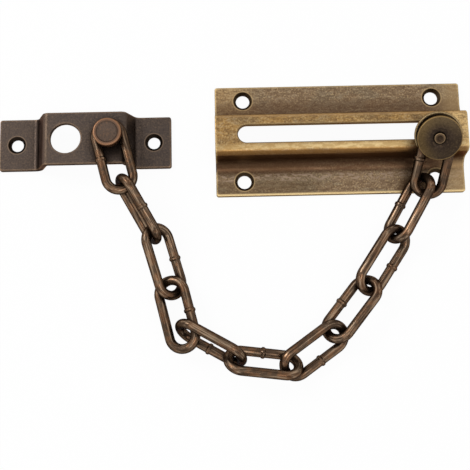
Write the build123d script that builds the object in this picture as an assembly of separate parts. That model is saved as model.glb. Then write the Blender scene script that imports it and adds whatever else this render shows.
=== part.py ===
from build123d import *

import os
from math import atan2, cos, radians, sin, tan

# Door chain: a pressed track plate with a keyhole slot, a spool-shaped knob that slides along the
# slot, a chain of welded links and a keeper plate that carries the chain's fixed stud.
# The set lies face up as it would on a bench, before its plates are screwed on.
# Millimetres. Origin: middle of the track plate's back. +X runs along the slot to the entry hole,
# +Z points out of the faces, and both plates' backs and the lowest links lie on Z = 0.

# Sheet that both plates are pressed from
SHEET = 1.8
PLATE_CORNER = 0.9
SHEET_EDGE = 0.35  # roll left by the punch on every front rim
SCREW_BEVEL = 0.95  # depth and width of the bevel round each screw hole
THROUGH = 4 * SHEET  # length of the cutters that pass right through a sheet

# Track plate: two flanges and a raised face with the slot
TRACK_LENGTH = 90.0
TRACK_WIDTH = 41.0
TRACK_HEIGHT = 11.0
FACE_HALF = 7.4  # slot centre to the corner that face and wall would make
FOOT_HALF = 8.6  # the same where the wall meets the flange
FACE_BEND = 2.2  # outer radii of the two folds
FOOT_BEND = 4.0
TRACK_SCREW_ROWS = 30.4
TRACK_SCREW_SPAN = 69.5
TRACK_SCREW_R = 2.5
SLOT_WIDTH = 6.4
SLOT_INSET = 8.1  # plate's left end to the slot's round end
ENTRY_INSET = 10.5  # plate's right end to the entry hole's centre
ENTRY_PLAY = 0.5  # round the knob's rear head as it drops in

# Knob: collar, groove and front disc on one stud, leaning as its own weight and the chain leave it
KNOB_SHORT = 0.7  # knob's middle short of the entry hole's
KNOB_LEAN = 29
KNOB_HEADING = 252  # the way it leans, counter-clockwise from +X
KNOB_PLAY = 0.1  # from its bearing faces to the track plate
NECK_R = 1.7
COLLAR_R = 8.3
COLLAR_THICK = 1.2
GROOVE_PLAY = 0.6  # groove width beyond the wire
DISC_R = 7.65
DISC_THICK = 1.5
DISC_DISH_R = 3.6  # dish in the disc's face, round the rivet
DISC_DISH = 0.5
TENON_R = 1.2
RIVET_R = 1.9
RIVET_RISE = 0.25
RIVET_DIP_R = 1.0
RIVET_DIP = 0.35
REAR_HEAD_R = 4.4
REAR_RIM = 0.8
PIN_FIT = 0.02  # radial, riveted pin in its hole
TURNED_EDGE = 0.3

# Chain link: one length of wire bent to an oval and butt welded in a leg
WIRE = 3.4
LINK_INSIDE_LENGTH = 21.2
LINK_INSIDE_WIDTH = 6.2
WELD_RISE = 0.35
WELD_FOOT = 1.6  # length of the weld's ring along the wire, at its foot and at its crest
WELD_CREST = 0.6
LINK_PLAY = 0.12  # between wires that hook, and from wire to pins
LANDING = 0.38  # second link's far bend over the floor, so that those after it just lie on it
HOOK_REACHES = [0.4 + 0.1 * step for step in range(13)]  # tried from hook to bend, in bend radii

# Keeper plate: two ears and a bridge with the parking hole and the stud
KEEPER_LENGTH = 62.5
KEEPER_WIDTH = 19.1
KEEPER_HEIGHT = 9.4
BRIDGE_HALF = 14.85  # bridge middle to the corners of its folds
BRIDGE_FOOT_HALF = 18.3
BRIDGE_SHIFT = 0.7  # bridge middle from plate middle
BRIDGE_BEND = 2.4
BRIDGE_FOOT_BEND = 2.2
PARK_R = 5.4
PARK_X = -6.0
KEEPER_SCREW_SPAN = 49.8
KEEPER_SCREW_R = 2.25

# Keeper stud: head and neck turned in one piece, riveted under the bridge
STUD_X = 9.8
STUD_R = 2.5
STUD_PLAY = 0.08  # over and under the last link, which lies on its weld
STUD_HEAD_R = 5.0
STUD_HEAD_THICK = 3.2
STUD_HEAD_EDGE = 0.55
STUD_FACE_R = 3.9
STUD_FACE_DEPTH = 0.35
STUD_TENON_R = 1.9
STUD_TAIL_R = 3.0
STUD_TAIL = 0.9

# How the chain lies, from knob to keeper: heading, pitch and roll of each link, in degrees.
# The first link's heading is its swing off the slope of the groove. FALL and CLIMB stand for the
# pitches that follow from the heights: down to the floor, and up to the keeper's bridge.
FALL, CLIMB = "fall", "climb"
PITCH_TRIALS = {FALL: (-30, 30), CLIMB: (-30, 40)}
LINK_LAY = [
    (6, 0, 0),
    (-120, FALL, 51),
    (-124, -2, -32),
    (-129, 0, 34),
    (-145, 2, -29),
    (173, 7, 43),
    (150, -5, -67),
    (104, -5, -16),
    (106, 8, 36),
    (119, CLIMB, -72),
    (104, 0, 0),
]
# Which way each link is drawn from the one before, in degrees off the middle of their headings
LINK_DRAW = [-29, 12, 6, 12, -7, -13, 66, -8, 10, 9]
# Leg that holds the weld: +1 left of the way from knob to keeper, -1 right
WELD_SIDE = [-1, -1, 1, -1, 1, -1, 1, -1, -1, -1, 1]

BEND_R = (LINK_INSIDE_WIDTH + WIRE) / 2
LEG_HALF = (LINK_INSIDE_LENGTH - LINK_INSIDE_WIDTH) / 2
GROOVE = WIRE + GROOVE_PLAY
SLOT_LEFT = -TRACK_LENGTH / 2 + SLOT_INSET
ENTRY_X = TRACK_LENGTH / 2 - ENTRY_INSET
ENTRY_R = REAR_HEAD_R + ENTRY_PLAY
KNOB_X = ENTRY_X - KNOB_SHORT
UP = Vector(0, 0, 1)
UPRIGHT = 0.03  # a face whose unit normal rises less than this is upright
HALVINGS = 14


def settle(fits, tight, loose):
    """The value nearest to tight for which fits(value) holds, found by halving."""
    for _ in range(HALVINGS):
        middle = (tight + loose) / 2
        if fits(middle):
            loose = middle
        else:
            tight = middle
    return loose


def pressed_sheet(corners, bends, width):
    """Sheet of one thickness that follows a folded middle line."""
    line = FilletPolyline(*corners, radius=bends)
    strip = make_face(offset(line, SHEET / 2, side=Side.BOTH).edges())
    return extrude(strip, width / 2, both=True)


def eased_plate(sheet, length, width):
    """The sheet with its plan corners rounded."""
    outer = Box(length, width, 4 * TRACK_HEIGHT)
    outer = fillet(outer.edges().filter_by(Axis.Z), PLATE_CORNER)
    return sheet & outer


def rolled_rims(plate):
    """The plate with its front rims rounded, along the outline and round the openings."""
    skin = [face for face in plate.faces() if face.normal_at().Z > UPRIGHT]
    cut = [face for face in plate.faces() if abs(face.normal_at().Z) < UPRIGHT]
    rims = ShapeList(skin).edges() & ShapeList(cut).edges()
    return fillet(rims, SHEET_EDGE)


def bevelled_hole(radius):
    """Screw hole cutter, its bevel opening at the front of the sheet, standing on Z = 0."""
    shank = Cylinder(radius, THROUGH)
    bevel = Cone(radius, radius + 2 * SCREW_BEVEL, 2 * SCREW_BEVEL)
    return shank + Pos(0, 0, SHEET) * bevel


def track_plate():
    half = TRACK_WIDTH / 2
    floor_z, face_z = SHEET / 2, TRACK_HEIGHT - SHEET / 2
    side = [(half, floor_z), (FOOT_HALF - SHEET / 2, floor_z), (FACE_HALF - SHEET / 2, face_z)]
    corners = [*side, *[(-y, z) for y, z in reversed(side)]]
    foot, face = FOOT_BEND + SHEET / 2, FACE_BEND - SHEET / 2
    profile = pressed_sheet(corners, [foot, face, face, foot], TRACK_LENGTH)
    plate = eased_plate(Plane.YZ.location * profile, TRACK_LENGTH, TRACK_WIDTH)
    slot = SlotCenterToCenter(ENTRY_X - SLOT_LEFT - SLOT_WIDTH / 2, SLOT_WIDTH)
    slot_x = (SLOT_LEFT + SLOT_WIDTH / 2 + ENTRY_X) / 2
    plate -= Pos(slot_x, 0, TRACK_HEIGHT) * extrude(slot, 2 * SHEET, both=True)
    plate -= Pos(ENTRY_X, 0, TRACK_HEIGHT) * Cylinder(ENTRY_R, THROUGH)
    plate = rolled_rims(plate)
    for spot in GridLocations(TRACK_SCREW_SPAN, TRACK_SCREW_ROWS, 2, 2):
        plate -= spot * bevelled_hole(TRACK_SCREW_R)
    return plate.solid()


def keeper_plate():
    """Keeper plate about its own middle, its bridge along X."""
    half = KEEPER_LENGTH / 2
    ear_z, bridge_z = SHEET / 2, KEEPER_HEIGHT - SHEET / 2
    foot, fold = BRIDGE_FOOT_HALF - SHEET / 2, BRIDGE_HALF - SHEET / 2
    left = [(-half, ear_z), (BRIDGE_SHIFT - foot, ear_z), (BRIDGE_SHIFT - fold, bridge_z)]
    right = [(BRIDGE_SHIFT + fold, bridge_z), (BRIDGE_SHIFT + foot, ear_z), (half, ear_z)]
    bends = [BRIDGE_FOOT_BEND + SHEET / 2, BRIDGE_BEND - SHEET / 2]
    profile = pressed_sheet([*left, *right], [*bends, *reversed(bends)], KEEPER_WIDTH)
    plate = eased_plate(Plane.XZ.location * profile, KEEPER_LENGTH, KEEPER_WIDTH)
    plate -= Pos(PARK_X, 0, KEEPER_HEIGHT) * Cylinder(PARK_R, THROUGH)
    plate = rolled_rims(plate)
    plate -= Pos(STUD_X, 0, KEEPER_HEIGHT) * Cylinder(STUD_TENON_R + PIN_FIT, THROUGH)
    for spot in GridLocations(KEEPER_SCREW_SPAN, 0, 2, 1):
        plate -= spot * bevelled_hole(KEEPER_SCREW_R)
    return plate.solid()


def turned(outline):
    """Solid of revolution about Z from (radius, height) corners."""
    return revolve(Plane.XZ * make_face(Polyline(*outline, close=True)), Axis.Z)


def washer(radius, thick, bore):
    """Round plate on Z = 0 with softened rims and a bore."""
    plate = Pos(0, 0, thick / 2) * Cylinder(radius, thick)
    plate = fillet(plate.edges(), TURNED_EDGE)
    return plate - Cylinder(bore, 4 * thick)


def slide_disc():
    """Front disc of the knob, its back on Z = 0, with the dish that the rivet stands in."""
    disc = washer(DISC_R, DISC_THICK, TENON_R + PIN_FIT)
    seat = DISC_THICK - DISC_DISH
    return disc - turned([(0, seat), (RIVET_R, seat), (DISC_DISH_R, DISC_THICK), (0, DISC_THICK)])


def rear_head():
    """Rear head of the knob's stud below Z = 0: a cone that lies flat under the leaning face."""
    drop = (REAR_HEAD_R - NECK_R) * tan(radians(KNOB_LEAN))
    rim = drop + REAR_RIM
    return turned([(0, 0), (NECK_R, 0), (REAR_HEAD_R, -drop), (REAR_HEAD_R, -rim), (0, -rim)])


def slide_stud(neck):
    """Stud of the knob, head junction on Z = 0: rear head, neck, groove core, tenon and rivet."""
    core = neck + COLLAR_THICK + GROOVE
    seat = core + DISC_THICK - DISC_DISH
    top = seat + DISC_DISH + RIVET_RISE
    shank = turned([(0, 0), (NECK_R, 0), (NECK_R, core), (TENON_R, core), (TENON_R, seat),
                    (RIVET_R, seat), (RIVET_R, top), (0, top)])
    shank = fillet(shank.edges().group_by(Axis.Z)[-1], TURNED_EDGE)
    ball = (RIVET_DIP_R ** 2 + RIVET_DIP ** 2) / (2 * RIVET_DIP)
    dip = Pos(0, 0, top - RIVET_DIP + ball) * Sphere(ball)
    return (shank + rear_head() - dip).solid()


def keeper_stud():
    """Stud of the keeper, its shoulder on Z = 0: tail, tenon, neck and head with a sunk face."""
    neck = WIRE + WELD_RISE + 2 * STUD_PLAY
    tail = turned([(0, -SHEET - STUD_TAIL), (STUD_TAIL_R, -SHEET - STUD_TAIL),
                   (STUD_TAIL_R, -SHEET), (STUD_TENON_R, -SHEET), (STUD_TENON_R, 0),
                   (STUD_R, 0), (STUD_R, neck), (0, neck)])
    head = Pos(0, 0, neck + STUD_HEAD_THICK / 2) * Cylinder(STUD_HEAD_R, STUD_HEAD_THICK)
    head = fillet(head.edges(), STUD_HEAD_EDGE)
    head -= Pos(0, 0, neck + STUD_HEAD_THICK) * Cone(
        STUD_FACE_R - STUD_FACE_DEPTH, STUD_FACE_R + STUD_FACE_DEPTH, 2 * STUD_FACE_DEPTH)
    return (tail + head).solid()


def link_centreline():
    """Middle line of a link's wire about its own centre, long way along X."""
    return SlotCenterToCenter(2 * LEG_HALF, 2 * BEND_R).face().outer_wire()


def chain_link(weld_side):
    """Link about its own centre: two legs, two bends and the weld's ring on one leg."""
    wire_r = WIRE / 2
    section = Plane.XZ * Pos(BEND_R, 0) * Circle(wire_r)
    bend = Pos(LEG_HALF, 0, 0) * Rot(0, 0, -90) * revolve(section, Axis.Z, 180)
    legs = [Pos(0, side * BEND_R, 0) * Rot(0, 90, 0) * Cylinder(wire_r, 2 * LEG_HALF)
            for side in (1, -1)]
    crest = wire_r + WELD_RISE
    ring = turned([(0, -WELD_FOOT / 2), (wire_r, -WELD_FOOT / 2), (crest, -WELD_CREST / 2),
                   (crest, WELD_CREST / 2), (wire_r, WELD_FOOT / 2), (0, WELD_FOOT / 2)])
    weld = Pos(0, weld_side * BEND_R, 0) * Rot(0, 90, 0) * ring
    return (bend + Rot(0, 0, 180) * bend + legs + weld).solid()


def link_plane(centre, along, across):
    """Plane of a link: X along it, Y across it, towards its left leg."""
    return Plane(origin=centre, x_dir=along, z_dir=along.cross(across))


def link_directions(heading, pitch, roll):
    """Unit vectors along and across a link."""
    turn, rise, lean = radians(heading), radians(pitch), radians(roll)
    along = Vector(cos(rise) * cos(turn), cos(rise) * sin(turn), sin(rise))
    level = Vector(-sin(turn), cos(turn), 0)
    return along, level * cos(lean) + along.cross(level) * sin(lean)


def drawn_link(parent, lay, draw, line):
    """Plane of the next link, drawn away from its parent until their wires all but touch."""
    along, across = link_directions(*lay)
    lead = (parent.x_dir + along).normalized().rotate(Axis.Z, draw)
    hook = parent.origin + parent.x_dir * LEG_HALF
    taut = parent.location * line

    def placed(reach):
        return link_plane(hook + lead * reach + along * LEG_HALF, along, across)

    def slack(reach):
        return taut.distance_to(placed(reach).location * line) - WIRE - LINK_PLAY

    reaches = [BEND_R * reach for reach in HOOK_REACHES]
    slacks = [slack(reach) for reach in reaches]
    loose = max(range(len(reaches)), key=slacks.__getitem__)
    taut_step = next(i for i in range(loose, len(reaches)) if slacks[i] < 0 or i == len(reaches) - 1)
    reach = settle(lambda value: slack(value) >= 0, reaches[taut_step], reaches[loose])
    return placed(reach)


def lowest(plane):
    """Height of the underside of a link's far bend."""
    end = plane.origin + plane.x_dir * LEG_HALF
    return end.Z - BEND_R * (plane.x_dir.Z ** 2 + plane.y_dir.Z ** 2) ** 0.5 - WIRE / 2


def knob_plane():
    """Plane of the knob: Z along its leaning axis, X down the slope, origin in the track's face."""
    lean, heading = radians(KNOB_LEAN), radians(KNOB_HEADING)
    axis = Vector(sin(lean) * cos(heading), sin(lean) * sin(heading), cos(lean))
    across_lean = atan2(-axis.Y, axis.Z)
    y = NECK_R / cos(across_lean) + KNOB_PLAY - SLOT_WIDTH / 2
    slope = (axis * axis.Z - UP).normalized()
    return Plane(origin=(KNOB_X, y, TRACK_HEIGHT), x_dir=slope, z_dir=axis)


def knob_seats(knob, track):
    """Heights along the knob's axis of its collar, on the fold, and its head, under the face."""
    mid_slot = Pos(-KNOB_X, 0, 0) * knob.location
    collar = washer(COLLAR_R, COLLAR_THICK, NECK_R)

    def clear(height):
        return track.distance_to(mid_slot * Pos(0, 0, height) * collar) >= KNOB_PLAY

    lean = radians(KNOB_LEAN)
    under_face = SHEET + KNOB_PLAY + NECK_R * sin(lean)
    return settle(clear, 0, COLLAR_R), -under_face / cos(lean)


def first_link_plane(knob, groove_height):
    """Plane of the link in the knob's groove, hung on the core."""
    groove = knob.offset(groove_height)
    along = groove.x_dir.rotate(Axis((0, 0, 0), groove.z_dir), LINK_LAY[0][0])
    across = groove.z_dir.cross(along)
    reach = LINK_INSIDE_WIDTH / 2 - NECK_R - LINK_PLAY + LEG_HALF
    return link_plane(groove.origin + along * reach, along, across)


def chain_planes(first):
    """Planes of all the links, knob to keeper."""
    line = link_centreline()
    bridge = KEEPER_HEIGHT + STUD_PLAY + WELD_RISE + WIRE / 2
    planes = [first]
    for count, (lay, draw) in enumerate(zip(LINK_LAY[1:], LINK_DRAW), start=1):
        heading, pitch, roll = lay

        def down(angle):
            return lowest(drawn_link(planes[-1], (heading, angle, roll), draw, line)) >= LANDING

        def up(angle):
            link = drawn_link(planes[-1], (heading, angle, roll), draw, line)
            return drawn_link(link, LINK_LAY[-1], LINK_DRAW[-1], line).origin.Z >= bridge

        if pitch == FALL:
            pitch = settle(down, *PITCH_TRIALS[FALL])
        elif pitch == CLIMB:
            pitch = settle(up, *PITCH_TRIALS[CLIMB])
        planes.append(drawn_link(planes[-1], (heading, pitch, roll), draw, line))
    return planes


def write(name, solid):
    export_step(solid, f"parts/{name}.step")


def main():
    os.makedirs("parts", exist_ok=True)
    track = track_plate()
    write("track_plate", track)

    knob = knob_plane()
    collar_at, head_at = knob_seats(knob, track)
    disc_at = collar_at + COLLAR_THICK + GROOVE
    write("slide_stud", knob.offset(head_at).location * slide_stud(collar_at - head_at))
    write("slide_collar", knob.offset(collar_at).location
          * washer(COLLAR_R, COLLAR_THICK, NECK_R + PIN_FIT).solid())
    write("slide_disc", knob.offset(disc_at).location * slide_disc().solid())

    planes = chain_planes(first_link_plane(knob, collar_at + COLLAR_THICK + GROOVE / 2))
    links = {side: chain_link(side) for side in set(WELD_SIDE)}
    for count, (plane, side) in enumerate(zip(planes, WELD_SIDE), start=1):
        write(f"chain_link_{count:02d}", plane.location * links[side])

    last = planes[-1]
    pin = last.origin + last.x_dir * (LEG_HALF + LINK_INSIDE_WIDTH / 2 - STUD_R - LINK_PLAY)
    keeper = Location((pin.X - STUD_X, pin.Y, 0))
    write("keeper_plate", keeper * keeper_plate())
    write("keeper_stud", keeper * Pos(STUD_X, 0, KEEPER_HEIGHT) * keeper_stud())
    return knob, collar_at, head_at, planes, pin


main()
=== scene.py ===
"""Door chain in antique brass, lying face up on a white table under soft studio light."""

import logging
import math
from dataclasses import dataclass
from enum import Enum
from typing import Any, Optional

import bpy
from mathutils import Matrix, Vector


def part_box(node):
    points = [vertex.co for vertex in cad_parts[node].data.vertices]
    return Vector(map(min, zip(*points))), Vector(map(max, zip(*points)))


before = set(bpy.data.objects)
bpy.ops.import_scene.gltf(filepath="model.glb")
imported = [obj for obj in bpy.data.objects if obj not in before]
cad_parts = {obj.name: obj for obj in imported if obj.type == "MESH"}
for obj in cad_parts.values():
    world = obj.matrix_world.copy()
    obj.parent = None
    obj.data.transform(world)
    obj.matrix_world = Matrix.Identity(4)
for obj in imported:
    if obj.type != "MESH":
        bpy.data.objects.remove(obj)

LOG = logging.getLogger("door_chain")
MM = 0.001
FAR_MM = 1000.0
OCCLUSION_RAYS = 8

# The bath's clouds have soft ragged edges, its flecks are crisper and the brush marks smooth.
CLOUD_NOISE = {"Detail": 4.0, "Roughness": 0.6}
FLECK_NOISE = {"Scale": 1.0, "Detail": 3.0, "Roughness": 0.65}
MARK_NOISE = {"Detail": 2.0}
# Most of the cloud noise lies between these values.
THIN_CLOUD = 0.3
THICK_CLOUD = 0.7

Place = tuple[float, float, float]


class Grain(Enum):
    """How the metal was worked, which sets the run of its fine marks."""

    PRESSED = "pressed"
    DRAWN = "drawn"
    TURNED = "turned"


class Measure(Enum):
    """What a coat follows over a surface. Lengths are in mm from the finish's origin."""

    ALONG = "along"
    ACROSS = "across"
    HEIGHT = "height"
    REACH = "reach"
    FACING = "facing"
    CLOUDS = "clouds"
    FLECKS = "flecks"
    MARKS = "marks"
    HOLE = "hole"
    SLOT = "slot"
    CORNER = "corner"
    RIM = "rim"


def srgb(code: str) -> tuple[float, float, float, float]:
    """Linear colour of an sRGB hex code.

    Args:
        code: Six hex digits after a hash.

    Returns:
        Red, green, blue and an alpha of 1, in linear light.
    """
    parts = [int(code[i:i + 2], 16) / 255 for i in (1, 3, 5)]
    linear = [c / 12.92 if c <= 0.04045 else ((c + 0.055) / 1.055) ** 2.4 for c in parts]
    return (linear[0], linear[1], linear[2], 1.0)


def add_node(tree: bpy.types.NodeTree, kind: str, settings: Optional[dict[str, Any]] = None,
             inputs: Optional[dict[Any, Any]] = None) -> bpy.types.Node:
    """Add one node with its settings, values and incoming links.

    Args:
        tree: Node tree that takes the node.
        kind: Blender's name of the node type.
        settings: Properties of the node.
        inputs: What each input takes, by name or number: an output socket or a value.

    Returns:
        The new node.
    """
    node = tree.nodes.new(kind)
    for name, value in (settings or {}).items():
        setattr(node, name, value)
    for key, value in (inputs or {}).items():
        if isinstance(value, bpy.types.NodeSocket):
            tree.links.new(value, node.inputs[key])
        else:
            node.inputs[key].default_value = value
    return node


def middle_mm(node: str) -> Place:
    """Middle of a node's box.

    Args:
        node: Name of the node.

    Returns:
        The middle in millimetres.
    """
    low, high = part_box(node)
    return tuple((a + b) / 2 / MM for a, b in zip(low, high))


def top_mm(node: str) -> Place:
    """Middle of the top of a node's box.

    Args:
        node: Name of the node.

    Returns:
        The place in millimetres.
    """
    middle = middle_mm(node)
    return (middle[0], middle[1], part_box(node)[1][2] / MM)


@dataclass(frozen=True)
class Span:
    """Smooth rise of a measure from none at one value to all at another."""

    measure: Measure
    none_at: float
    all_at: float


# Places that most of the finishes share.
IN_CLOUDS = Span(Measure.CLOUDS, 0.42, 0.66)
SKIN_FLECKS = Span(Measure.FLECKS, 0.5, 0.72)
BARE_FLECKS = Span(Measure.FLECKS, 0.5, 0.3)
# Upright sides and corners, where the dark coats are partly the bath's skin and partly painted
# shade.
ON_SIDES = Span(Measure.FACING, 0.6, 0.1)
IN_CORNERS = Span(Measure.CORNER, 0.84, 0.45)


@dataclass(frozen=True)
class Coat:
    """Colour that lies over the ones before it where all its spans agree."""

    colour: str
    share: float
    spans: tuple[Span, ...]

    def lay(self, tree: bpy.types.NodeTree, measures: dict[Measure, Any],
            under: Any) -> bpy.types.NodeSocket:
        """Lay the coat over a colour.

        Args:
            tree: Node tree of the material.
            measures: What the spans follow.
            under: Colour or socket of the coats below.

        Returns:
            The colour with this coat on it.
        """
        share: Any = self.share
        for span in self.spans:
            rise = add_node(tree, "ShaderNodeMapRange", {"interpolation_type": "SMOOTHSTEP"},
                            {"Value": measures[span.measure], "From Min": span.none_at,
                             "From Max": span.all_at}).outputs["Result"]
            share = add_node(tree, "ShaderNodeMath", {"operation": "MULTIPLY"},
                             {0: rise, 1: share}).outputs[0]
        return add_node(tree, "ShaderNodeMix", {"data_type": "RGBA"},
                        {"Factor": share, 6: under, 7: srgb(self.colour)}).outputs[2]


@dataclass(frozen=True)
class Finish:
    """Brass darkened in a patina bath, then brushed back and lacquered.

    The bath leaves clouds and flecks. The brush brings the metal back on flat faces and rims,
    and leaves the dark skin on upright sides and in corners. Painted shade darkens those sides
    and corners further, and painted highlights lie on some faces, folds, edges and wire tops. To
    the eye that is a soft metal shine with dark skin in all that a hand or a brush doesn't reach.

    The grit of the brush leaves scratches of about 0.1 mm, and a pixel of the render is 0.35 mm.
    Flecks, marks and streaks are therefore drawn coarser than the real ones, so that they show.
    """

    name: str
    metal: str
    coats: tuple[Coat, ...]
    grain: Grain = Grain.PRESSED
    origin_mm: Place = (0.0, 0.0, 0.0)
    holes_mm: tuple[tuple[float, float], ...] = ()
    slot_mm: tuple[float, float] = (0.0, 0.0)
    cloud_mm: float = 6.0
    fleck_mm: float = 0.6
    mark_mm: float = 2.4
    # Clouds and marks of a pressed sheet are this share as wide as they are long.
    width_share: float = 0.4
    # Streaks for each radian round a wire: one for every 0.65 mm round a wire of 3.4 mm.
    streaks_round: float = 2.6
    # Along a streak the metal changes at this share of the pace of plain flecks.
    streak_change: float = 0.06
    corner_mm: float = 6.0
    # Flecks fray the edge of the dark skin and painted shade in corners by this much.
    fray: float = 0.25
    rim_mm: float = 0.9
    roughness: float = 0.36
    # Brushed places are this much smoother, and thick clouds that much rougher.
    brushed: float = 0.05
    clouded: float = 0.12
    bump_mm: float = 0.02
    bump_strength: float = 0.7
    # The skin is part oxide, so it is a little less than all metal.
    metallic: float = 0.9
    edge_tint: str = "#9A8C7C"

    def build(self) -> bpy.types.Material:
        """Make the material.

        Returns:
            The material, ready to assign.
        """
        material = bpy.data.materials.new(self.name)
        material.use_nodes = True
        tree = material.node_tree
        measures = self.measures(tree)
        colour: Any = srgb(self.metal)
        for coat in self.coats:
            colour = coat.lay(tree, measures, colour)
        rough = add_node(tree, "ShaderNodeMapRange", {},
                         {"Value": measures[Measure.CLOUDS],
                          "From Min": THIN_CLOUD, "From Max": THICK_CLOUD,
                          "To Min": self.roughness - self.brushed,
                          "To Max": self.roughness + self.clouded})
        bump = add_node(tree, "ShaderNodeBump", {},
                        {"Strength": self.bump_strength, "Distance": self.bump_mm * MM,
                         "Height": measures[Measure.FLECKS]})
        shader = tree.nodes["Principled BSDF"]
        shader.inputs["Metallic"].default_value = self.metallic
        shader.inputs["Specular Tint"].default_value = srgb(self.edge_tint)
        tree.links.new(colour, shader.inputs["Base Color"])
        tree.links.new(rough.outputs["Result"], shader.inputs["Roughness"])
        tree.links.new(bump.outputs["Normal"], shader.inputs["Normal"])
        return material

    def measures(self, tree: bpy.types.NodeTree) -> dict[Measure, Any]:
        """Everything that a coat can follow over the surface.

        Args:
            tree: Node tree of the material.

        Returns:
            One socket or value for each measure.
        """
        surface = add_node(tree, "ShaderNodeTexCoord").outputs
        place = add_node(tree, "ShaderNodeVectorMath", {"operation": "MULTIPLY_ADD"},
                         {0: surface["Object"], 1: (1 / MM,) * 3,
                          2: [-value for value in self.origin_mm]}).outputs["Vector"]
        parts = add_node(tree, "ShaderNodeSeparateXYZ", {}, {0: place}).outputs
        facing = add_node(tree, "ShaderNodeSeparateXYZ", {}, {0: surface["Normal"]})
        reach = add_node(tree, "ShaderNodeVectorMath", {"operation": "LENGTH"},
                         {0: place}).outputs["Value"]
        drawn_out = add_node(tree, "ShaderNodeVectorMath", {"operation": "MULTIPLY"},
                             {0: place, 1: (self.width_share, 1.0, 1.0)}).outputs["Vector"]
        clouds = add_node(tree, "ShaderNodeTexNoise", {},
                          {"Vector": drawn_out if self.grain is Grain.PRESSED else place,
                           "Scale": 1 / self.cloud_mm, **CLOUD_NOISE}).outputs["Fac"]
        flecks = add_node(tree, "ShaderNodeTexNoise", {},
                          {"Vector": self.run(tree, place, surface["Normal"], reach),
                           **FLECK_NOISE}).outputs["Fac"]
        marks = add_node(tree, "ShaderNodeTexNoise", {},
                         {"Vector": drawn_out, "Scale": 1 / (self.mark_mm * self.width_share),
                          **MARK_NOISE}).outputs["Fac"]
        sky = add_node(tree, "ShaderNodeAmbientOcclusion", {"samples": OCCLUSION_RAYS},
                       {"Distance": self.corner_mm * MM}).outputs["AO"]
        corner = add_node(tree, "ShaderNodeMath", {"operation": "MULTIPLY_ADD"},
                          {0: flecks, 1: -self.fray, 2: sky}).outputs[0]
        rim = add_node(tree, "ShaderNodeAmbientOcclusion",
                       {"samples": OCCLUSION_RAYS, "inside": True},
                       {"Distance": self.rim_mm * MM}).outputs["AO"]
        return {Measure.ALONG: parts["X"], Measure.ACROSS: parts["Y"],
                Measure.HEIGHT: parts["Z"], Measure.REACH: reach,
                Measure.FACING: facing.outputs["Z"], Measure.CLOUDS: clouds,
                Measure.FLECKS: flecks, Measure.MARKS: marks,
                Measure.HOLE: self.to_hole(tree, place), Measure.SLOT: self.to_slot(tree, place),
                Measure.CORNER: corner, Measure.RIM: rim}

    def to_hole(self, tree: bpy.types.NodeTree, place: bpy.types.NodeSocket) -> Any:
        """Distance to the middle line of the nearest screw hole.

        Args:
            tree: Node tree of the material.
            place: Place on the surface in mm.

        Returns:
            The distance in mm, or a far one where the piece has no hole.
        """
        flat = add_node(tree, "ShaderNodeVectorMath", {"operation": "MULTIPLY"},
                        {0: place, 1: (1.0, 1.0, 0.0)}).outputs["Vector"]
        nearest: Any = FAR_MM
        for x, y in self.holes_mm:
            away = add_node(tree, "ShaderNodeVectorMath", {"operation": "DISTANCE"},
                            {0: flat, 1: (x, y, 0.0)}).outputs["Value"]
            nearest = add_node(tree, "ShaderNodeMath", {"operation": "MINIMUM"},
                               {0: nearest, 1: away}).outputs[0]
        return nearest

    def to_slot(self, tree: bpy.types.NodeTree,
                place: bpy.types.NodeSocket) -> bpy.types.NodeSocket:
        """Distance to the slot's middle line.

        Args:
            tree: Node tree of the material.
            place: Place on the surface in mm.

        Returns:
            The distance in mm, measured in the plane of the sheet.
        """
        start, end = self.slot_mm
        parts = add_node(tree, "ShaderNodeSeparateXYZ", {}, {0: place}).outputs
        along = add_node(tree, "ShaderNodeClamp", {},
                         {"Value": parts["X"], "Min": start, "Max": end})
        line = add_node(tree, "ShaderNodeCombineXYZ", {},
                        {"X": along.outputs[0], "Z": parts["Z"]})
        return add_node(tree, "ShaderNodeVectorMath", {"operation": "DISTANCE"},
                        {0: place, 1: line.outputs[0]}).outputs["Value"]

    def run(self, tree: bpy.types.NodeTree, place: bpy.types.NodeSocket,
            normal: bpy.types.NodeSocket, reach: bpy.types.NodeSocket) -> bpy.types.NodeSocket:
        """Where the fine marks are read, so that they run as the metal was worked.

        The die's streaks follow a drawn wire, and on it also carry painted highlights and
        reflections:
        they change round it with the surface normal and only slowly along it. The rings of a
        turned face change outward.

        Args:
            tree: Node tree of the material.
            place: Place on the surface in mm.
            normal: The surface normal.
            reach: Distance from the origin in mm.

        Returns:
            Place in the pattern, where one unit is one fleck, streak or ring.
        """
        spread = add_node(tree, "ShaderNodeVectorMath", {"operation": "SCALE"},
                          {0: place, "Scale": 1 / self.fleck_mm}).outputs["Vector"]
        if self.grain is Grain.PRESSED:
            return spread
        slow = add_node(tree, "ShaderNodeVectorMath", {"operation": "SCALE"},
                        {0: spread, "Scale": self.streak_change}).outputs["Vector"]
        quick = normal if self.grain is Grain.DRAWN else reach
        pace = self.streaks_round if self.grain is Grain.DRAWN else 1 / self.fleck_mm
        return add_node(tree, "ShaderNodeVectorMath", {"operation": "MULTIPLY_ADD"},
                        {0: quick, 1: (pace,) * 3, 2: slow}).outputs["Vector"]


def dress(pieces: tuple[str, ...], finish: Finish) -> None:
    """Give CAD pieces their finish and report each one.

    Args:
        pieces: Names of the nodes.
        finish: What they are finished in.
    """
    material = finish.build()
    for name in pieces:
        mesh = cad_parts[name].data
        mesh.materials.clear()
        mesh.materials.append(material)
        for polygon in mesh.polygons:
            polygon.material_index = 0
        LOG.info("%s: %s", name, finish.name)


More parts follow.
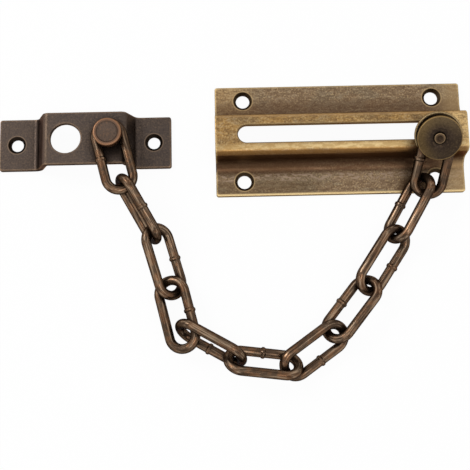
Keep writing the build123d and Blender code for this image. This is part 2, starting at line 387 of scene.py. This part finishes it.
@dataclass
class TrackPlate:
    """Pressed track plate: a raised slotted face, a wall at each side and two flanges."""

    piece: str = "track_plate"
    slot_half_mm: float = 3.2
    slot_start_mm: float = -33.7
    slot_end_mm: float = 34.5
    face_half_mm: float = 7.4
    foot_end_mm: float = 12.6
    edge_mm: float = 20.5
    end_mm: float = 45.0
    screw_x_mm: float = 34.75
    screw_y_mm: float = 15.2
    screw_radius_mm: float = 2.5
    bevel_mm: float = 0.95
    # Heights over which the flanges' coats set in downward, and the raised face's upward.
    flange_fade_mm: tuple[float, float] = (7.0, 3.0)
    face_fade_mm: tuple[float, float] = (8.8, 10.0)

    def finish(self) -> Finish:
        """Antique brass on pressed sheet.

        Brushed olive gold on the raised face, brown umber clouds on the flanges, dark umber skin
        with painted shade on the walls and folds, and bright brass where the knob and the link
        rub beside the slot, made brighter as a painted highlight. Painted highlights also lie on
        the far fold, the near edge and the near flange, and painted shade along the flanges'
        feet.

        Returns:
            The finish of the plate.
        """
        up = (Span(Measure.HEIGHT, *self.face_fade_mm),)
        down = (Span(Measure.HEIGHT, *self.flange_fade_mm),)
        far_side = (Span(Measure.ACROSS, 0.0, 2.0),)
        near_side = (Span(Measure.ACROSS, 0.0, -2.0),)
        slot = self.slot_half_mm
        fold = self.face_half_mm
        foot = self.foot_end_mm
        bevel = self.screw_radius_mm + self.bevel_mm
        screws = tuple((x, y) for x in (-self.screw_x_mm, self.screw_x_mm)
                       for y in (-self.screw_y_mm, self.screw_y_mm))
        return Finish("antique_brass_pressed_sheet", "#9E7B4A", (
            Coat("#776347", 0.65, (Span(Measure.CLOUDS, 0.44, 0.6),)),
            Coat("#7A6655", 0.7, down),
            Coat("#6C6659", 0.45, down + (Span(Measure.CLOUDS, 0.56, 0.44),)),
            # The far flange is more golden towards its left end. The face beyond the knob's disc
            # carries a painted highlight.
            Coat("#AC8C60", 0.6, down + far_side + (Span(Measure.ALONG, -26.0, -40.0),)),
            Coat("#D6B47C", 0.85, up + (Span(Measure.ALONG, self.end_mm - 9, self.end_mm - 4),)),
            # Flecks of skin stand a little proud, with bare metal between them.
            Coat("#4E3826", 0.6, (Span(Measure.FLECKS, 0.5, 0.7),)),
            Coat("#DCC08C", 0.45, (BARE_FLECKS,)),
            Coat("#5A4636", 0.45, (Span(Measure.MARKS, 0.5, 0.62),)),
            Coat("#A08E74", 0.3, (Span(Measure.MARKS, 0.46, 0.36),)),
            # Painted shade darkens the flanges where they run up to the walls, wider to the left
            # on the near side, and a broken painted highlight lies on the near flange beyond its
            # foot.
            Coat("#5A4331", 0.6, down + far_side + (Span(Measure.ACROSS, foot + 4, foot),)),
            Coat("#4A3020", 0.75, down + near_side + (Span(Measure.ACROSS, -foot - 0.6,
                                                           -foot + 1.6),)),
            Coat("#4A3422", 0.6, down + near_side + (Span(Measure.ACROSS, -foot - 3, -foot),
                                                     Span(Measure.ALONG, 6.0, -24.0))),
            Coat("#54432F", 0.5, down + near_side + (Span(Measure.ACROSS, -foot - 1.5, -foot - 3),
                                                     Span(Measure.ALONG, 2.0, -16.0))),
            Coat("#A8927C", 0.6, down + (Span(Measure.ACROSS, -foot - 3.5, -foot - 2),
                                         Span(Measure.ACROSS, -foot + 0.6, -foot - 0.6),
                                         Span(Measure.MARKS, 0.46, 0.6))),
            # The knob's collar and the first link polish the face between slot and fold, and a
            # painted highlight brightens that band, strongest towards the right. Painted shade
            # darkens the near fold, and a painted highlight lies along the far fold.
            Coat("#E2C690", 0.9, up + (Span(Measure.ACROSS, -slot, -fold + 2.4),
                                       Span(Measure.ACROSS, -fold + 1.3, -fold + 2.1),
                                       Span(Measure.ALONG, -80.0, 10.0))),
            Coat("#A8834E", 0.55, up + (Span(Measure.ACROSS, -slot, -slot - 0.8),
                                        Span(Measure.MARKS, 0.46, 0.6))),
            Coat("#6A4824", 0.8, up + (Span(Measure.ACROSS, -fold + 1.7, -fold + 0.9),)),
            Coat("#B8946A", 0.5, up + (Span(Measure.ACROSS, fold - 1.8, fold - 0.6),)),
            # Upright walls and corners keep the bath's dark skin, deepened by painted shade.
            Coat("#5C402A", 0.9, near_side + (ON_SIDES,)),
            Coat("#3A2618", 0.85, far_side + (Span(Measure.FACING, 0.5, 0.05),
                                              Span(Measure.HEIGHT, 9.8, 8.0))),
            Coat("#4A3322", 0.8, (IN_CORNERS,)),
            # The flanges are lighter towards the right end.
            Coat("#B4966A", 0.4, down + (Span(Measure.ALONG, self.end_mm - 11, self.end_mm - 2),
                                         Span(Measure.FACING, 0.5, 0.9))),
            # Sheet edges are worn to bare brass, most on the near one, whose bright line is
            # partly a painted highlight.
            Coat("#D8BC88", 0.8, (Span(Measure.RIM, 0.92, 0.55), Span(Measure.CLOUDS, 0.3, 0.5))),
            Coat("#E2C692", 0.7, (Span(Measure.ACROSS, -self.edge_mm + 1.0, -self.edge_mm + 0.5),
                                  Span(Measure.FACING, 0.2, 0.7))),
            # The slot's rim stays dark. The screw holes' countersinks are painted near black as
            # shade, each in a light line.
            Coat("#5E4830", 0.75, up + (Span(Measure.SLOT, slot + 0.6, slot + 0.3),)),
            Coat("#C4A678", 0.4, (Span(Measure.HOLE, bevel + 0.5, bevel + 0.25),)),
            Coat("#21160E", 0.9, (Span(Measure.HOLE, bevel + 0.2, bevel - 0.2),)),
        ), holes_mm=screws, slot_mm=(self.slot_start_mm, self.slot_end_mm), corner_mm=7.0,
            rim_mm=1.1)

    def dress(self) -> None:
        """Finish the plate."""
        dress((self.piece,), self.finish())


@dataclass
class SlideKnob:
    """Turned stud that leans in the slot, with a collar and a riveted disc."""

    stud: str = "slide_stud"
    collar: str = "slide_collar"
    disc: str = "slide_disc"
    lean_deg: float = 29.0
    heading_deg: float = 252.0
    disc_mm: float = 1.5
    disc_radius_mm: float = 7.65
    rivet_radius_mm: float = 1.9
    dip_radius_mm: float = 1.0
    # The disc is umber out to here, and olive from here towards the rim.
    umber_radius_mm: float = 2.6

    def rivet_mm(self) -> Place:
        """Middle of the rivet's head.

        Returns:
            Its place in mm.
        """
        lean, heading = math.radians(self.lean_deg), math.radians(self.heading_deg)
        axis = Vector((math.sin(lean) * math.cos(heading), math.sin(lean) * math.sin(heading),
                       math.cos(lean)))
        return tuple(Vector(middle_mm(self.disc)) + axis * self.disc_mm / 2)

    def stud_finish(self) -> Finish:
        """Dark bronze on the turned stud, with a lighter ring where its rivet was spun over.

        Returns:
            The finish of the stud.
        """
        return Finish("dark_bronze_turned_stud", "#4C3D2E", (
            Coat("#33281F", 0.6, (IN_CLOUDS,)),
            # The ring lies between the rivet's dip and its edge, and the dip is dark.
            Coat("#9C8262", 0.6, (Span(Measure.REACH, self.dip_radius_mm + 0.45,
                                       self.dip_radius_mm + 0.75),
                                  Span(Measure.REACH, self.rivet_radius_mm + 0.3,
                                       self.rivet_radius_mm))),
            Coat("#33271E", 0.8, (Span(Measure.REACH, self.dip_radius_mm + 0.3,
                                       self.dip_radius_mm - 0.1),)),
            # Painted shade, over the bath's dark skin, makes the stud's sides and corners near
            # black.
            Coat("#1E1610", 0.9, (ON_SIDES,)),
            Coat("#1E1610", 0.9, (IN_CORNERS,)),
        ), grain=Grain.TURNED, origin_mm=self.rivet_mm(), fleck_mm=0.4, corner_mm=3.0, rim_mm=0.4)

    def collar_finish(self) -> Finish:
        """Dark bronze collar, near black inside with painted shade, and worn to a light line
        along its rim that is partly a painted highlight.

        Returns:
            The finish of the collar.
        """
        return Finish("dark_bronze_collar", "#4A3A2A", (
            Coat("#3A2C20", 0.6, (IN_CLOUDS,)),
            # Painted shade, over the bath's skin, makes the collar near black on its sides and in
            # its corners under the disc.
            Coat("#140D09", 0.9, (ON_SIDES,)),
            Coat("#140D09", 0.95, (IN_CORNERS,)),
            # The light line along the rim is wear and a painted highlight.
            Coat("#C8AC7E", 0.95, (Span(Measure.RIM, 0.92, 0.54),)),
        ), corner_mm=5.0, rim_mm=1.0)

    def disc_finish(self) -> Finish:
        """Dark bronze disc: umber in the middle, olive towards the rim, a thin brass rim.

        Returns:
            The finish of the disc.
        """
        rim = self.disc_radius_mm
        outward = Span(Measure.REACH, self.umber_radius_mm, rim - 1.0)
        return Finish("dark_bronze_turned_disc", "#352B24", (
            Coat("#2A211B", 0.6, (IN_CLOUDS,)),
            Coat("#352B20", 0.6, (outward,)),
            # Lighter olive on the upper and the left parts of the outer face.
            Coat("#6C5A40", 0.5, (outward, Span(Measure.ACROSS, -1.0, 6.0))),
            Coat("#64502F", 0.45, (outward, Span(Measure.ALONG, 1.0, -6.5))),
            Coat("#1A130E", 0.4, (SKIN_FLECKS,)),
            Coat("#6B5840", 0.3, (BARE_FLECKS,)),
            # Painted shade, over the bath's skin, darkens the disc's sides and corners.
            Coat("#1A130E", 0.85, (Span(Measure.FACING, 0.45, 0.1),)),
            Coat("#1A130E", 0.8, (IN_CORNERS,)),
            Coat("#8E744C", 0.85, (Span(Measure.REACH, rim - 0.35, rim - 0.1),)),
        ), origin_mm=middle_mm(self.disc), corner_mm=3.0, rim_mm=0.4)

    def dress(self) -> None:
        """Finish the stud, the collar and the disc."""
        dress((self.stud,), self.stud_finish())
        dress((self.collar,), self.collar_finish())
        dress((self.disc,), self.disc_finish())


@dataclass
class Chain:
    """Eleven welded links of drawn wire."""

    links: int = 11
    wire_mm: float = 3.4
    # Dark skin and painted shade reach this share of the wire out of the places where two links
    # touch.
    touch_share: float = 0.75

    def finish(self) -> Finish:
        """Dark bronze on drawn wire: long streaks, a painted highlight on top and painted shade
        below, near black.

        Returns:
            The finish of the links.
        """
        return Finish("dark_bronze_welded_wire", "#5B493A", (
            Coat("#43352A", 0.6, (Span(Measure.CLOUDS, 0.42, 0.62),)),
            # Copper shows through where the bath was thin.
            Coat("#7C5538", 0.5, (Span(Measure.CLOUDS, 0.56, 0.4),
                                  Span(Measure.FACING, 0.4, 0.9))),
            # The drawing die left streaks along the wire, each changing over about 15 mm. They
            # are drawn as
            # painted reflections: dark streaks, and light ones on the upper side that are painted
            # highlights.
            Coat("#2B211A", 0.7, (Span(Measure.FLECKS, 0.5, 0.66),)),
            Coat("#B89F84", 0.55, (Span(Measure.FLECKS, 0.5, 0.34),
                                   Span(Measure.FACING, 0.3, 0.85))),
            # Painted shade darkens the sides and the underside of the wire, near black.
            Coat("#34291F", 0.92, (Span(Measure.FACING, 0.85, 0.15),)),
            # Painted shade, with the bath's skin, darkens the wire where links touch.
            Coat("#32261D", 0.8, (Span(Measure.CORNER, 0.84, 0.4),)),
        ), grain=Grain.DRAWN, cloud_mm=3.0, fleck_mm=0.9,
            corner_mm=self.wire_mm * self.touch_share, roughness=0.26, bump_mm=0.03)

    def dress(self) -> None:
        """Finish the links."""
        dress(tuple(f"chain_link_{n:02d}" for n in range(1, self.links + 1)), self.finish())


@dataclass
class Keeper:
    """Pressed keeper with a raised bridge, and the turned stud that holds the last link."""

    plate: str = "keeper_plate"
    stud: str = "keeper_stud"
    bridge_half_mm: float = 14.85
    screw_x_mm: float = 24.9
    screw_radius_mm: float = 2.25
    bevel_mm: float = 0.95
    head_radius_mm: float = 5.0
    sunk_radius_mm: float = 3.9
    # Heights from the plate's middle where the ears' coats set in, and the bridge's.
    ear_fade_mm: tuple[float, float] = (0.0, -2.0)
    bridge_fade_mm: tuple[float, float] = (2.0, 3.5)

    def plate_finish(self) -> Finish:
        """Dark bronze on pressed sheet: grey umber faces, warm worn folds and rims, and painted
        shade on upright sides, in corners and beside the left fold.

        Returns:
            The finish of the plate.
        """
        half = self.bridge_half_mm
        up = (Span(Measure.HEIGHT, *self.bridge_fade_mm),)
        down = (Span(Measure.HEIGHT, *self.ear_fade_mm),)
        bevel = self.screw_radius_mm + self.bevel_mm
        screws = ((-self.screw_x_mm, 0.0), (self.screw_x_mm, 0.0))
        return Finish("dark_bronze_pressed_sheet", "#524740", (
            Coat("#453E3B", 0.6, (IN_CLOUDS,)),
            Coat("#3F3733", 0.3, down),
            Coat("#1F1612", 0.35, (SKIN_FLECKS,)),
            Coat("#8F7458", 0.2, (BARE_FLECKS,)),
            # Painted shade makes the bridge darker and warmer beside its left fold.
            Coat("#46382A", 0.6, up + (Span(Measure.ALONG, -half + 3.5, -half + 1.5),)),
            # Painted shade, with the bath's skin, darkens upright sides and corners.
            Coat("#241A15", 0.8, (ON_SIDES,)),
            Coat("#1F1612", 0.75, (IN_CORNERS,)),
            # Painted shade darkens the left ear towards the fold, and a painted highlight
            # lightens the fold's wall.
            Coat("#261D19", 0.75, (Span(Measure.HEIGHT, 0.6, -0.6),
                                   Span(Measure.ALONG, -half - 4.6, -half - 1.8),
                                   Span(Measure.ALONG, 0.0, -half))),
            Coat("#62524A", 0.85, (Span(Measure.HEIGHT, -2.0, -0.6),
                                   Span(Measure.ALONG, -half + 2.0, -half + 0.8))),
            # Edges and the lines round the holes are worn. The holes' countersinks are painted
            # near black as shade.
            Coat("#A08266", 0.85, (Span(Measure.RIM, 0.92, 0.5), Span(Measure.CLOUDS, 0.3, 0.5))),
            Coat("#7E6A58", 0.5, (Span(Measure.HOLE, bevel + 0.5, bevel + 0.25),)),
            Coat("#120C09", 0.9, (Span(Measure.HOLE, bevel + 0.2, bevel - 0.2),)),
        ), origin_mm=middle_mm(self.plate), holes_mm=screws, cloud_mm=5.0)

    def stud_finish(self) -> Finish:
        """Coppery bronze on the turned stud, lighter round its sunk face, brightest at its rim.

        Returns:
            The finish of the stud.
        """
        rim = self.head_radius_mm
        sunk = self.sunk_radius_mm
        return Finish("copper_bronze_turned_stud", "#594B42", (
            Coat("#4C3F36", 0.5, (IN_CLOUDS,)),
            Coat("#2C1D15", 0.4, (SKIN_FLECKS,)),
            Coat("#8A6648", 0.3, (BARE_FLECKS,)),
            Coat("#6E5342", 0.7, (Span(Measure.REACH, sunk - 0.2, sunk + 0.1),)),
            Coat("#A07454", 0.6, (Span(Measure.REACH, rim - 0.8, rim - 0.35),
                                  Span(Measure.REACH, rim + 0.9, rim + 0.1))),
            # Painted shade, with the bath's skin, darkens the stud's sides and the corner under
            # its head.
            Coat("#2C1D15", 0.6, (Span(Measure.FACING, 0.5, 0.05),)),
            Coat("#1F1612", 0.7, (IN_CORNERS,)),
            Coat("#8A6648", 0.5, (Span(Measure.RIM, 0.9, 0.5),)),
        ), origin_mm=top_mm(self.stud), corner_mm=2.0, rim_mm=0.8)

    def dress(self) -> None:
        """Finish the plate and the stud."""
        dress((self.plate,), self.plate_finish())
        dress((self.stud,), self.stud_finish())


@dataclass
class Studio:
    """White table, soft lamps and the camera of the photograph."""

    camera_mm: Place = (-41.125, -89.026, 301.698)
    camera_turn_rad: Place = (0.1731, -0.0024, -0.022)
    focal_px: float = 852.18
    centre_px: tuple[float, float] = (233.447, 240.217)
    image_px: float = 470.0
    sensor_mm: float = 36.0
    near_clip_m: float = 0.01
    table_m: float = 4.0
    # The table lies just under the set, so that the two don't share a plane.
    table_drop_mm: float = 0.02
    # Coated card is nearly white and matt: it takes soft shadows and shows no shine.
    card: str = "#FAFAFA"
    card_roughness: float = 0.9
    # Share of the table that is plain white to the eye, which thins the shadows.
    table_white: float = 0.95
    world_light: float = 0.65
    lamp_side_m: float = 0.3
    front_lamp_m: Place = (0.05, -0.28, 0.8)
    front_watts: float = 0.9
    left_lamp_m: Place = (-0.6, 0.3, 0.6)
    left_watts: float = 2.2

    def build(self) -> None:
        """Make the camera, the table, the lamps and the world."""
        self.place_camera()
        self.lay_table()
        self.hang_lamp("front_softbox", self.front_lamp_m, self.front_watts)
        self.hang_lamp("left_softbox", self.left_lamp_m, self.left_watts)
        self.light_world()
        LOG.info("studio: camera, table, two lamps and a white world")

    def place_camera(self) -> None:
        """Put the camera where the photograph was taken from."""
        data = bpy.data.cameras.new("camera")
        data.sensor_width = self.sensor_mm
        data.sensor_fit = "HORIZONTAL"
        data.lens = self.focal_px / self.image_px * self.sensor_mm
        data.shift_x = 0.5 - self.centre_px[0] / self.image_px
        data.shift_y = self.centre_px[1] / self.image_px - 0.5
        data.clip_start = self.near_clip_m
        camera = bpy.data.objects.new("camera", data)
        camera.location = Vector(self.camera_mm) * MM
        camera.rotation_euler = self.camera_turn_rad
        bpy.context.scene.collection.objects.link(camera)
        bpy.context.scene.camera = camera

    def lay_table(self) -> None:
        """Lay a matt white card under the set, which is plain white where a ray sees it."""
        half = self.table_m / 2
        mesh = bpy.data.meshes.new("table")
        corners = [(-half, -half, 0), (half, -half, 0), (half, half, 0), (-half, half, 0)]
        mesh.from_pydata(corners, [], [(0, 1, 2, 3)])
        table = bpy.data.objects.new("table", mesh)
        table.location.z = -self.table_drop_mm * MM
        bpy.context.scene.collection.objects.link(table)
        material = bpy.data.materials.new("matt_white_card")
        material.use_nodes = True
        tree = material.node_tree
        card = tree.nodes["Principled BSDF"]
        card.inputs["Base Color"].default_value = srgb(self.card)
        card.inputs["Roughness"].default_value = self.card_roughness
        white = add_node(tree, "ShaderNodeEmission", {}, {"Color": (1, 1, 1, 1)})
        share = add_node(tree, "ShaderNodeMath", {"operation": "MULTIPLY"},
                         {0: self.seen(tree), 1: self.table_white})
        both = add_node(tree, "ShaderNodeMixShader", {},
                        {0: share.outputs[0], 1: card.outputs["BSDF"],
                         2: white.outputs["Emission"]})
        tree.links.new(both.outputs[0], tree.nodes["Material Output"].inputs["Surface"])
        mesh.materials.append(material)

    def hang_lamp(self, name: str, place: Place, watts: float) -> None:
        """Hang a square soft lamp that looks at the set.

        Args:
            name: Name of the lamp.
            place: Where it hangs, in metres.
            watts: Its power.
        """
        data = bpy.data.lights.new(name, "AREA")
        data.size = self.lamp_side_m
        data.energy = watts
        lamp = bpy.data.objects.new(name, data)
        lamp.location = place
        lamp.rotation_euler = (-Vector(place)).to_track_quat("-Z", "Y").to_euler()
        bpy.context.scene.collection.objects.link(lamp)

    def light_world(self) -> None:
        """Make a world that is white where it is seen and softer where it only lights."""
        world = bpy.data.worlds.new("studio")
        bpy.context.scene.world = world
        world.use_nodes = True
        tree = world.node_tree
        background = tree.nodes["Background"]
        background.inputs["Color"].default_value = (1, 1, 1, 1)
        strength = add_node(tree, "ShaderNodeMapRange", {},
                            {"Value": self.seen(tree), "To Min": self.world_light, "To Max": 1.0})
        tree.links.new(strength.outputs["Result"], background.inputs["Strength"])

    def seen(self, tree: bpy.types.NodeTree) -> bpy.types.NodeSocket:
        """Tell rays that show the background from rays that only light.

        Args:
            tree: Node tree of the material or the world.

        Returns:
            One for a ray from the camera, a gloss or a glass, and nothing for others.
        """
        rays = add_node(tree, "ShaderNodeLightPath").outputs
        seen = rays["Is Camera Ray"]
        for other in ("Is Glossy Ray", "Is Transmission Ray"):
            seen = add_node(tree, "ShaderNodeMath", {"operation": "MAXIMUM"},
                            {0: seen, 1: rays[other]}).outputs[0]
        return seen


def main() -> None:
    """Dress the set and light it."""
    logging.basicConfig(level=logging.INFO, format="%(name)s: %(message)s")
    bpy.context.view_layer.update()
    bpy.context.scene.view_settings.view_transform = "Standard"
    for part in (TrackPlate(), SlideKnob(), Chain(), Keeper()):
        part.dress()
    Studio().build()


if __name__ == "__main__":
    main()
